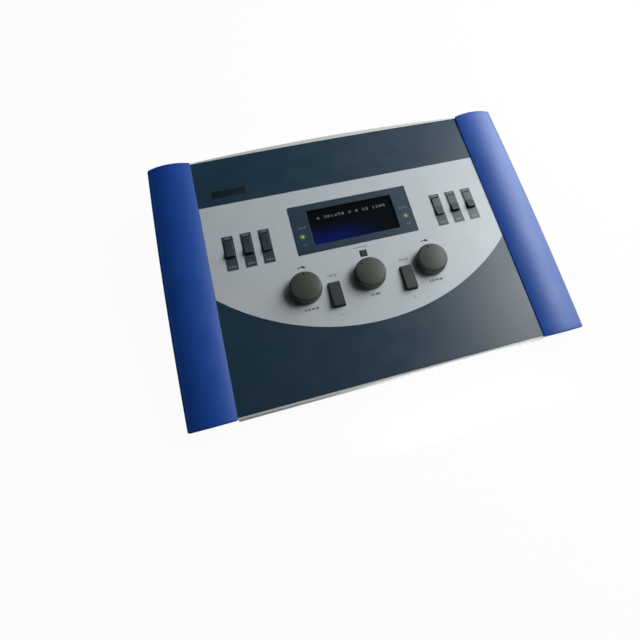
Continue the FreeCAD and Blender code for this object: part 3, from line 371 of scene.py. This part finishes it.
def print_line(words, height, middle, right, up, weight=0.0):
    """Points and faces of one printed line: letter outlines, thickened, with capitals of `height`.

    A point is middle + x * right + y * up + z * out, where out = right x up.
    The weight fattens the strokes, as a share of the size of the letters.
    """
    line = bpy.data.curves.new("line", "FONT")
    line.body = words
    line.align_x = "CENTER"
    line.align_y = "CENTER"
    line.resolution_u = 3
    line.extrude = print_relief / height
    line.offset = weight
    holder = bpy.data.objects.new("line", line)
    bpy.context.scene.collection.objects.link(holder)
    letters = bpy.data.meshes.new_from_object(holder)
    flat = np.empty(len(letters.vertices) * 3)
    letters.vertices.foreach_get("co", flat)
    flat = flat.reshape(-1, 3) * height / capital_share
    faces = [list(face.vertices) for face in letters.polygons]
    bpy.data.objects.remove(holder)
    bpy.data.curves.remove(line)
    bpy.data.meshes.remove(letters)
    axes = np.array([right, up, np.cross(right, up)], float)
    return np.array(middle) + flat @ axes, faces


def finished(name, points, faces, finish, body, slot):
    """A piece from points and faces, its seams merged, that rides on a body."""
    mesh = bpy.data.meshes.new(name)
    mesh.from_pydata(np.asarray(points).tolist(), [], faces)
    edit = bmesh.new()
    edit.from_mesh(mesh)
    bmesh.ops.remove_doubles(edit, verts=edit.verts, dist=1e-7)
    bmesh.ops.recalc_face_normals(edit, faces=edit.faces)
    edit.to_mesh(mesh)
    edit.free()
    mesh.materials.append(finish)
    piece = bpy.data.objects.new(name, mesh)
    bpy.context.scene.collection.objects.link(piece)
    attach(piece, body)
    return piece


def printed(name, lines, finish, slot, body="console"):
    """One piece of print from lines of (words, height, middle, right, up)."""
    points = []
    faces = []
    count = 0
    for line in lines:
        corners, sides = print_line(*line)
        points.append(corners)
        faces += [[corner + count for corner in side] for side in sides]
        count += len(corners)
    return finished(name, np.concatenate(points), faces, finish, body, slot)


plate_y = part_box("rear_plate")[1][1]
dark_ink = ink("dark_ink", (0.012, 0.018, 0.022), (0.022, 0.028, 0.032))
rear_lines = []
for number in range(1, 6):
    low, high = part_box("socket_%d" % number)
    below = ((low[0] + high[0]) / 2, plate_y, (low[2] + high[2]) / 2 - 0.0115)
    rear_lines.append((str(number), 0.003, below, (-1, 0, 0), (0, 0, 1)))
low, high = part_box("power_housing")
for mark, rise in (("I", 0.005), ("O", -0.005)):
    beside = (low[0] - 0.004, plate_y, (low[2] + high[2]) / 2 + rise)
    rear_lines.append((mark, 0.003, beside, (-1, 0, 0), (0, 0, 1)))
printed("rear_print", rear_lines, dark_ink, "legend_print")

# ------------------------------------------------------------------ control panel
# The sloping dark blue-grey moulding that carries every control; satin, finely grained.
# Places on it are given as u to the right, v up the slope and w out of it, in millimetres.
dark_panel = moulded("dark_panel", (0.013, 0.038, 0.064), (0.016, 0.043, 0.071), 0.34,
                     grain=2200.0, relief=0.000012)
dress(dark_panel, "control_panel")

slope = math.radians(9.0)
near_z = 17.0
near_edge = np.array([0.0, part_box("control_panel")[0][1], near_z * 0.001])
panel_right = np.array([1.0, 0.0, 0.0])
panel_up = np.array([0.0, math.cos(slope), math.sin(slope)])
panel_out = np.array([0.0, -math.sin(slope), math.cos(slope)])


def on_panel(u, v, w=0.0):
    """The place near_edge + u * right + v * up + w * out; u, v, w may be arrays."""
    u, v, w = np.broadcast_arrays(u, v, w)
    return near_edge + 0.001 * (u[..., None] * panel_right + v[..., None] * panel_up
                                + w[..., None] * panel_out)


# ------------------------------------------------------------------ light overlay
# Thin light grey printed foil let into the panel, satin with a faint leather-like grain.
# Its far edge is straight, its near edge an arc that sweeps round the knobs.
light_foil = moulded("light_foil", (0.50, 0.545, 0.575), (0.47, 0.515, 0.545), 0.42,
                     grain=1800.0, relief=0.00001, edge=0.0001)
dress(light_foil, "light_overlay")

# ------------------------------------------------------------------ legend plates and print
# Dark slate plates stuck round the rockers, the dark marks of the overlay and the small
# pale marks on the plates; screen print, standing a hair above what carries it.
legend_slate = moulded("legend_slate", (0.036, 0.058, 0.070), (0.043, 0.065, 0.077), 0.33,
                       grain=1800.0, relief=0.00001, edge=0.0001)
legend_slate.node_tree.nodes["Principled BSDF"].inputs["Specular IOR Level"].default_value = 0.58
dress(legend_slate, "legend_plates")


def slabs(outlines, low, high):
    """Points and faces of flat marks: each outline of (u, v) gets a floor, a top and side walls."""
    points = []
    faces = []
    for outline in outlines:
        corners = np.array(outline, float)
        count = len(corners)
        start = sum(len(part) for part in points)
        points.append(on_panel(corners[:, 0], corners[:, 1], low))
        points.append(on_panel(corners[:, 0], corners[:, 1], high))
        floor = np.arange(start, start + count)
        after = np.roll(floor, -1)
        faces.append(floor[::-1].tolist())
        faces.append((floor + count).tolist())
        faces += np.stack([floor, after, after + count, floor + count], -1).tolist()
    return np.concatenate(points), faces


def turn_arrow(u, v):
    """Arrow bent over a knob: each corner lies at (r cos a, r sin a) round the middle of its arc,
    which is 9 below the place; first the band's inner side, then the head, then the outer side.
    """
    bend = np.linspace(118.0, 88.0, 9)
    angle = np.radians(np.concatenate([bend, [88.0, 62.0, 88.0], bend[::-1]]))
    radius = np.concatenate([np.full(9, 8.5), [7.6, 9.1, 10.5], np.full(9, 9.4)])
    return np.stack([u + radius * np.cos(angle), v - 9.0 + radius * np.sin(angle)], -1)


def bar(u, v, width, depth):
    """Rectangle round a place."""
    return [(u - width / 2, v - depth / 2), (u + width / 2, v - depth / 2),
            (u + width / 2, v + depth / 2), (u - width / 2, v + depth / 2)]


overlay_marks = [
    turn_arrow(-60.3, 120.6), turn_arrow(61.6, 120.6),
    bar(0.0, 121.0, 7.2, 7.0),
    bar(-1.5, 128.0, 14.0, 0.45)]
finished("overlay_marks", *slabs(overlay_marks, -0.02, 0.04), dark_ink, "console", "legend_print")


def line_on_panel(words, height, u, v, w=0.0):
    """A bold printed line on the panel, ready for printed()."""
    return (words, height * 0.001, on_panel(u, v, w), panel_right, panel_up, 0.02)


printed("overlay_numbers", [
    line_on_panel("0 20 40 80", 2.1, -60.5, 77.6),
    line_on_panel("125 800", 2.1, -0.5, 77.6),
    line_on_panel("0 20 40 80", 2.1, 60.0, 77.6),
    line_on_panel("1 0 1 0", 2.2, -35.2, 105.5),
    line_on_panel("2 0 2 0", 2.2, 35.1, 105.5),
    line_on_panel("- 1 -", 1.7, -35.0, 66.2),
    line_on_panel("- 2 -", 1.7, 35.0, 66.2)], dark_ink, "legend_print")

legend_t = 0.25
plate_lines = []
for number, u in enumerate((-121.0, -103.96, -86.92, 86.92, 103.96, 121.0), 1):
    plate_lines.append(line_on_panel("%d 2 5" % number, 1.7, u, 166.0, legend_t))
    plate_lines.append(line_on_panel("%d 50 0" % number, 1.7, u, 135.6, legend_t))
plate_ink = ink("plate_ink", (0.34, 0.38, 0.41), (0.28, 0.32, 0.35))
printed("plate_numbers", plate_lines, plate_ink, "legend_print")
dim_ink = ink("dim_ink", (0.050, 0.072, 0.088), (0.036, 0.054, 0.070))
printed("overlay_sign", [line_on_panel("8", 4.6, 0.0, 121.0, 0.05)], dim_ink, "legend_print")

# ------------------------------------------------------------------ name plate
# Blank satin plate let into the panel beyond the display, with no name on it; nearly black
# with a cool tint.
name_black = moulded("name_black", (0.006, 0.013, 0.018), (0.011, 0.024, 0.034), 0.32,
                     grain=3000.0, relief=0.000008, edge=0.0002)
dress(name_black, "name_plate")

# ------------------------------------------------------------------ display
# Slate bezel with a clear tinted window; behind it the module in its black steel frame, its
# blue backlit glass with one row of pale dots, and a round lamp each side. The lamps' light on
# the bezel is painted light: a green glow that the bezel itself gives off round each lamp.
bezel_slate_painted_glow = moulded("bezel_slate_painted_glow", (0.019, 0.042, 0.068), (0.023, 0.047, 0.074), 0.36,
                      grain=2200.0, relief=0.00001, edge=0.0004)


def shining(tree, colour):
    """Light that a surface gives off by itself, with the colour of a socket."""
    shader = tree.nodes["Principled BSDF"]
    shader.inputs["Emission Strength"].default_value = 1.0
    tree.links.new(colour, shader.inputs["Emission Color"])


def lamp_light(paint, inner, outer, rim, core):
    """Glow round the two lamps: goes from core to rim between the distances inner and outer.
    On the lamps it is their own light; on the bezel it is painted light, given off by the bezel.

    The distance is taken from |place|, so one lamp's place serves for both.
    """
    tree = paint.node_tree
    folded = tree.nodes.new("ShaderNodeVectorMath")
    folded.operation = "ABSOLUTE"
    away = tree.nodes.new("ShaderNodeVectorMath")
    away.operation = "DISTANCE"
    away.inputs[1].default_value = np.abs(on_panel(52.1, 151.3, 0.5)).tolist()
    tree.links.new(tree.nodes["Texture Coordinate"].outputs["Object"], folded.inputs[0])
    tree.links.new(folded.outputs["Vector"], away.inputs[0])
    near = ranged(tree, away.outputs["Value"], 1.0, 0.0, inner, outer)
    shining(tree, two_tone(tree, near, rim, core))


# Painted light: the bezel gives off a faint green glow round each lamp, as if lit by it.
lamp_light(bezel_slate_painted_glow, 0.0013, 0.0038, (0.0, 0.0, 0.0), (0.045, 0.115, 0.025))
dress(bezel_slate_painted_glow, "display_bezel")
frame_black = moulded("frame_black", (0.012, 0.012, 0.014), (0.02, 0.02, 0.022), 0.4)
dress(frame_black, "lcd_frame")

window_clear, tree, shader, place = bare_material("window_clear", 0.08)
smear = noise(tree, place, 60.0)
tree.links.new(ranged(tree, smear, 0.05, 0.12), shader.inputs["Roughness"])
tree.links.new(two_tone(tree, smear, (0.004, 0.008, 0.010), (0.007, 0.011, 0.014)),
               shader.inputs["Base Color"])
shader.inputs["Alpha"].default_value = 0.35
dress(window_clear, "display_window")

# The backlight is brightest in the near left corner and fades out across and up the glass.
lcd_blue, tree, shader, place = bare_material("lcd_blue", 0.25)
split = tree.nodes.new("ShaderNodeSeparateXYZ")
tree.links.new(place, split.inputs["Vector"])
glass_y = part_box("lcd_glass")[0][1]
across = ranged(tree, split.outputs["X"], 1.0, 0.0, -0.025, 0.035)
across.node.interpolation_type = "SMOOTHSTEP"
upward = ranged(tree, split.outputs["Y"], 1.0, 0.0, glass_y + 0.006, glass_y + 0.028)
upward.node.interpolation_type = "SMOOTHSTEP"
glow = tree.nodes.new("ShaderNodeMath")
glow.operation = "MULTIPLY"
tree.links.new(across, glow.inputs[0])
tree.links.new(upward, glow.inputs[1])
shining(tree, two_tone(tree, glow.outputs["Value"], (0.001, 0.0012, 0.0014), (0.003, 0.010, 0.15)))
tree.links.new(two_tone(tree, glow.outputs["Value"], (0.002, 0.002, 0.003), (0.002, 0.006, 0.05)),
               shader.inputs["Base Color"])
dress(lcd_blue, "lcd_glass")

# Each figure is 5 dots wide and 7 high; a row of dots is one number, its bits read from the left.
figures = {
    "0": (14, 17, 19, 21, 25, 17, 14), "1": (4, 12, 4, 4, 4, 4, 14), "2": (14, 17, 1, 2, 4, 8, 31),
    "3": (31, 2, 4, 2, 1, 17, 14), "4": (2, 6, 10, 18, 31, 2, 2), "5": (31, 16, 30, 1, 1, 17, 14),
    "6": (6, 8, 16, 30, 17, 17, 14), "7": (31, 1, 2, 4, 8, 8, 8), "8": (14, 17, 17, 14, 17, 17, 14),
    "9": (14, 17, 17, 15, 1, 2, 12), " ": (0, 0, 0, 0, 0, 0, 0)}
row_words = "4 301250 8 0 25 1200"
dot_pitch = 0.46
dot_rise = 0.38
character_pitch = 3.55
dot_half = 0.18
row_u = 1.1
row_v = 170.1
bits = np.array([[[figure >> (4 - column) & 1 for column in range(5)]
                  for figure in figures[letter]] for letter in row_words])
letter, line, column = np.nonzero(bits)
dot_u = row_u + (letter - 9.5) * character_pitch + (column - 2) * dot_pitch
dot_v = row_v - (line - 3) * dot_rise
corner_u = np.array([-1, 1, 1, -1]) * dot_half
corner_v = np.array([-1, -1, 1, 1]) * dot_half
dots = [np.stack([u + corner_u, v + corner_v], -1) for u, v in zip(dot_u, dot_v)]
dot_white, tree, shader, place = bare_material("dot_white", 0.4)
shining(tree, two_tone(tree, noise(tree, place, 90.0), (0.12, 0.13, 0.15), (0.70, 0.72, 0.78)))
finished("display_dots", *slabs(dots, -3.82, -3.77), dot_white, "console", "lcd_glass")

lamp_green, tree, shader, place = bare_material("lamp_green", 0.25)
lamp_light(lamp_green, 0.0004, 0.0019, (0.12, 0.18, 0.085), (0.20, 0.28, 0.15))
tree.links.new(two_tone(tree, noise(tree, place, 900.0), (0.10, 0.16, 0.03), (0.2, 0.28, 0.06)),
               shader.inputs["Base Color"])
dress(lamp_green, "status_leds")

pale_ink = ink("pale_ink", (0.25, 0.31, 0.38), (0.20, 0.26, 0.32))
bezel_proud = 0.3
printed("bezel_numbers", [
    line_on_panel("1 2 3 4", 1.9, -51.0, 160.6, bezel_proud),
    line_on_panel("1 0", 1.7, -51.6, 142.0, bezel_proud),
    line_on_panel("5 6 7 8", 1.9, 51.6, 160.6, bezel_proud),
    line_on_panel("2 0", 1.7, 52.4, 142.0, bezel_proud)], pale_ink, "legend_print")

# ------------------------------------------------------------------ knobs
# Three thick round knobs, satin olive-black mouldings pressed on the encoder shafts, with a
# domed top, a soft edge and a small dimple near the rim that shows where they stand.
knob_olive = moulded("knob_olive", (0.041, 0.051, 0.039), (0.047, 0.057, 0.044), 0.52,
                     grain=3000.0, relief=0.000008, edge=0.0002)
knob_r = 15.1
knob_top = 10.8
knob_taper = 0.4
knob_edge = 2.2
knob_lean = math.radians(11.0)
knob_foot = 0.8
hollow_r = 10.0
hollow_top = 4.4
bore_r = 3.0
bore_top = 9.0
dimple_r = 1.15
dimple_depth = 0.9
knob_v = 97.9


def stitched(grid):
    """Quads of a grid of points: corner (i, j) joins (i, j+1), (i+1, j+1) and (i+1, j)."""
    rows, columns = grid.shape[:2]
    number = np.arange(rows * columns).reshape(rows, columns)
    quads = np.stack([number[:-1, :-1], number[:-1, 1:], number[1:, 1:], number[1:, :-1]], -1)
    return grid.reshape(-1, 3), quads.reshape(-1, 4).tolist()


def smooth(piece, sharp):
    """Smooth shading; open edges and edges of more than `sharp` degrees are kept crisp."""
    mesh = piece.data
    mesh.polygons.foreach_set("use_smooth", np.ones(len(mesh.polygons), dtype=bool))
    mesh.set_sharp_from_angle(angle=math.radians(sharp))
    crisp = np.empty(len(mesh.edges), dtype=bool)
    mesh.edges.foreach_get("use_edge_sharp", crisp)
    used = np.empty(len(mesh.loops), dtype=np.int32)
    mesh.loops.foreach_get("edge_index", used)
    crisp |= np.bincount(used, minlength=len(crisp)) == 1
    mesh.edges.foreach_set("use_edge_sharp", crisp)


def knob_skin(centre_u, centre_v, turn):
    """Profile (r, w) carried round the axis: domed top, round edge, drafted side, hollow, bore.

    The dome is a sphere of radius R = rim / sin(lean), which the edge's arc meets smoothly.
    The dimple lowers the top by depth * (1 - (d / r)^4) at distance d < r from its middle.
    """
    edge_x = knob_r - knob_taper - knob_edge
    rim = edge_x + knob_edge * math.sin(knob_lean)
    dome_r = rim / math.sin(knob_lean)
    inner = np.linspace(0.0, rim, 48)
    dome = knob_top - dome_r + np.sqrt(dome_r**2 - inner**2)
    edge_w = dome[-1] - knob_edge * math.cos(knob_lean)
    bend = np.linspace(knob_lean, math.pi / 2, 10)[1:]
    radius = np.concatenate([
        inner, edge_x + knob_edge * np.sin(bend), np.linspace(knob_r - knob_taper, knob_r, 5)[1:],
        [knob_r - 0.15, knob_r - 0.5, hollow_r + 0.3, hollow_r, hollow_r, bore_r, bore_r, 0.0]])
    height = np.concatenate([
        dome, edge_w + knob_edge * np.cos(bend), np.linspace(edge_w, knob_foot + 0.4, 5)[1:],
        [knob_foot + 0.12, knob_foot, knob_foot, knob_foot + 0.3, hollow_top, hollow_top,
         bore_top, bore_top]])
    around = np.linspace(0.0, 2 * math.pi, 241)
    u = radius[:, None] * np.cos(around)
    v = radius[:, None] * np.sin(around)
    w = np.repeat(height[:, None], len(around), 1)
    away = edge_x - dimple_r - 0.2
    lean = math.radians(turn)
    near = ((u + away * math.sin(lean))**2 + (v - away * math.cos(lean))**2) / dimple_r**2
    pressed = np.where((near < 1.0) & (w > dome[-1]), 1.0 - near**2, 0.0)
    return on_panel(centre_u + u, centre_v + v, w - dimple_depth * pressed)


for name, u, turn in (("left", -61.3, 0.0), ("centre", 0.0, 38.0), ("right", 61.3, 10.0)):
    grip = finished(name + "_knob_grip", *stitched(knob_skin(u, knob_v, turn)), knob_olive,
                    name + "_knob_body", "knob")
    smooth(grip, 40.0)
    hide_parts(name + "_knob")

# ------------------------------------------------------------------ rockers and paddles
# Satin keys on steel pins, their edges slightly rounded by the mould: six wedge-shaped slate
# rockers beside the display and two olive-black paddles between the knobs.
key_olive = moulded("key_olive", (0.032, 0.040, 0.040), (0.038, 0.046, 0.045), 0.4,
                    grain=3000.0, relief=0.000008, edge=0.0002)
key_slate = moulded("key_slate", (0.022, 0.042, 0.049), (0.027, 0.048, 0.056), 0.4,
                    grain=3000.0, relief=0.000008, edge=0.0002)
key_slate.node_tree.nodes["Principled BSDF"].inputs["Specular IOR Level"].default_value = 0.68


def softened(name, width):
    """Small rounding of a node's edges: its loose triangles are joined, then bevelled."""
    joined = nodes[name].modifiers.new("joined", "WELD")
    joined.merge_threshold = 1e-5
    rounded = nodes[name].modifiers.new("rounded", "BEVEL")
    rounded.width = width
    rounded.segments = 3
    rounded.limit_method = "ANGLE"
    rounded.angle_limit = math.radians(25.0)


key_edge = 0.0003
for name in ["rocker_%d" % number for number in range(1, 7)]:
    dress(key_slate, name)
    softened(name, key_edge)
for name in ("left_paddle", "right_paddle"):
    dress(key_olive, name)
    softened(name, key_edge)

# ------------------------------------------------------------------ cheeks
# Hollow blue side mouldings with a crowned top and a rounded outer shoulder, open below and
# screwed on from inside the case through bosses; a smooth satin-gloss skin.
cheek_blue = moulded("cheek_blue", (0.0055, 0.060, 0.33), (0.0075, 0.066, 0.36), 0.46,
                     grain=1500.0, relief=0.00001, edge=0.0005)
shader = cheek_blue.node_tree.nodes["Principled BSDF"]
shader.inputs["Specular Tint"].default_value = (0.77, 0.85, 0.77, 1.0)
shader.inputs["Specular IOR Level"].default_value = 0.65
panel_half = 141.5
panel_depth = 255.4
cheek_w = 41.2
cheek_bow = 1.5
cheek_step = 1.4
cheek_crown = 3.2
shoulder_w = 3.4
shoulder_h = 4.3
cheek_draft = 2.5
draft_far = 2.6
cheek_near = 2.6
cheek_far = 1.7
cheek_lean = math.tan(math.radians(22.0))
cheek_wall = 2.4
cheek_foot = 3.0
end_round = 1.5


def cheek_skin(side):
    """Outer skin of a cheek, as a grid: rows run from the near end to the far end, columns from
    the inner foot up, over the crown and the shoulder and down the outer wall to the foot.

    With y along the case and w out of the panel, z = near + y tan(slope) + w / cos(slope). The
    crown is an arc, the shoulder a quarter ellipse, the outer wall a straight drafted line.
    Ends are quarter rounds: the section draws in by r (1 - cos) while y goes on by r sin.
    Each end is closed by rows that shrink the last section to a point at its foot.
    """
    bend = np.linspace(math.pi / 2, 0.0, 6)[:5]
    bend = np.concatenate([bend, np.zeros(60), bend[::-1]])[:, None]
    share = np.concatenate([np.zeros(5), np.linspace(0.0, 1.0, 60), np.ones(5)])[:, None]
    lead = end_round * (1 - np.sin(bend))
    inset = end_round * (1 - np.cos(bend))
    rise = math.tan(slope)
    edge = np.array([-cheek_near * math.cos(slope) - cheek_step * math.sin(slope),
                     near_z - cheek_near * math.sin(slope) + cheek_step * math.cos(slope)])
    far = panel_depth * math.cos(slope) + cheek_far

    def along(z):
        """y of the section at height z, between the leaning near plane and the far plane."""
        return (1 - share) * (edge[0] + (edge[1] - z) * cheek_lean + lead) + share * (far - lead)

    def on_top(w):
        """y and z of the section's point that lies w above the panel's plane."""
        y = along(near_z + w / math.cos(slope)) / (1 + (1 - share) * cheek_lean * rise)
        return y, near_z + y * rise + w / math.cos(slope)

    bow_r = ((panel_depth / 2)**2 + cheek_bow**2) / (2 * cheek_bow)
    station = on_top(cheek_step)[0] / math.cos(slope) - panel_depth / 2
    bow = np.sqrt(bow_r**2 - station**2) - bow_r + cheek_bow
    shoulder = cheek_w - shoulder_w
    crown_r = ((shoulder / 2)**2 + cheek_crown**2) / (2 * cheek_crown)
    crown_x = -bow + inset + np.linspace(0.0, 1.0, 26) * (shoulder - 1.5 * inset + bow)
    crown_w = (cheek_step + cheek_crown - inset - crown_r
               + np.sqrt(crown_r**2 - (crown_x - shoulder / 2)**2))
    fall = np.linspace(0.0, math.pi / 2, 12)[1:]
    fall_x = shoulder - inset / 2 + (shoulder_w - inset / 2) * np.sin(fall)
    fall_w = cheek_step - inset - shoulder_h * (1 - np.cos(fall))
    top_y, top_z = on_top(np.concatenate([crown_w, fall_w], 1))
    wall_z = top_z[:, -1:] + np.linspace(0.0, 1.0, 9)[1:] * (cheek_foot - top_z[:, -1:])
    wall_y = along(wall_z)
    wall_w = (wall_z - near_z - wall_y * rise) * math.cos(slope)
    depth = near_z + (panel_depth * math.cos(slope) + draft_far) * rise
    wall_x = cheek_w - inset - cheek_draft * (fall_w[:, -1:] - wall_w) / (fall_w[:, -1:] + depth)
    inner_z = cheek_foot + np.linspace(0.0, 1.0, 9)[:-1] * (top_z[:, :1] - cheek_foot)
    inner_y = along(inner_z)
    inner_x = np.repeat(inset - bow, 8, 1)
    x = panel_half + bow + np.concatenate([inner_x, crown_x, fall_x, wall_x], 1)
    y = np.concatenate([inner_y, top_y, wall_y], 1)
    z = np.concatenate([inner_z, top_z, wall_z], 1)
    skin = np.stack([side * x, y, z], -1)
    foot = skin[[0, -1]][:, [0, -1]].mean(1)[:, None]
    step = np.array([1.0, 0.6, 0.3])[:, None, None]
    near_cap = foot[0] * step + skin[0] * (1 - step)
    far_cap = foot[1] * step + skin[-1] * (1 - step)
    skin = np.concatenate([near_cap, skin, far_cap[::-1]])
    return skin * 0.001 + (0.0, near_edge[1], 0.0)


def boss_skin(side, y, z):
    """Screw boss along x with a blind bore: the profile (r, x) is carried round its axis."""
    radius = np.array([0.0, 1.55, 1.55, 4.0, 4.0, 0.0]) * 0.001
    reach = np.array([6.6, 6.6, 0.3, 0.3, 9.0, 9.0]) * 0.001
    around = np.linspace(0.0, 2 * math.pi, 49)
    x = np.repeat(side * (0.001 * panel_half + reach)[:, None], 49, 1)
    return np.stack([x, y + radius[:, None] * np.cos(around),
                     z + radius[:, None] * np.sin(around)], -1)


boss_y = np.linspace(0.0404, 0.2221, 3) + near_edge[1]
boss_z = np.linspace(0.01295, 0.02734, 3)
for name, side in (("left", -1), ("right", 1)):
    shell = finished(name + "_cheek_shell", *stitched(cheek_skin(side)), cheek_blue,
                     "console", "blue_cheek")
    smooth(shell, 50.0)
    walls = shell.modifiers.new("walls", "SOLIDIFY")
    walls.thickness = cheek_wall * 0.001
    walls.offset = -1.0
    points = []
    faces = []
    for place in zip(boss_y, boss_z):
        corners, quads = stitched(boss_skin(side, *place))
        faces += [[corner + len(corners) * len(points) for corner in quad] for quad in quads]
        points.append(corners)
    bosses = finished(name + "_cheek_bosses", np.concatenate(points), faces, cheek_blue,
                      "console", "blue_cheek")
    smooth(bosses, 40.0)
    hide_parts(name + "_cheek")
    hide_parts(name + "_cheek")
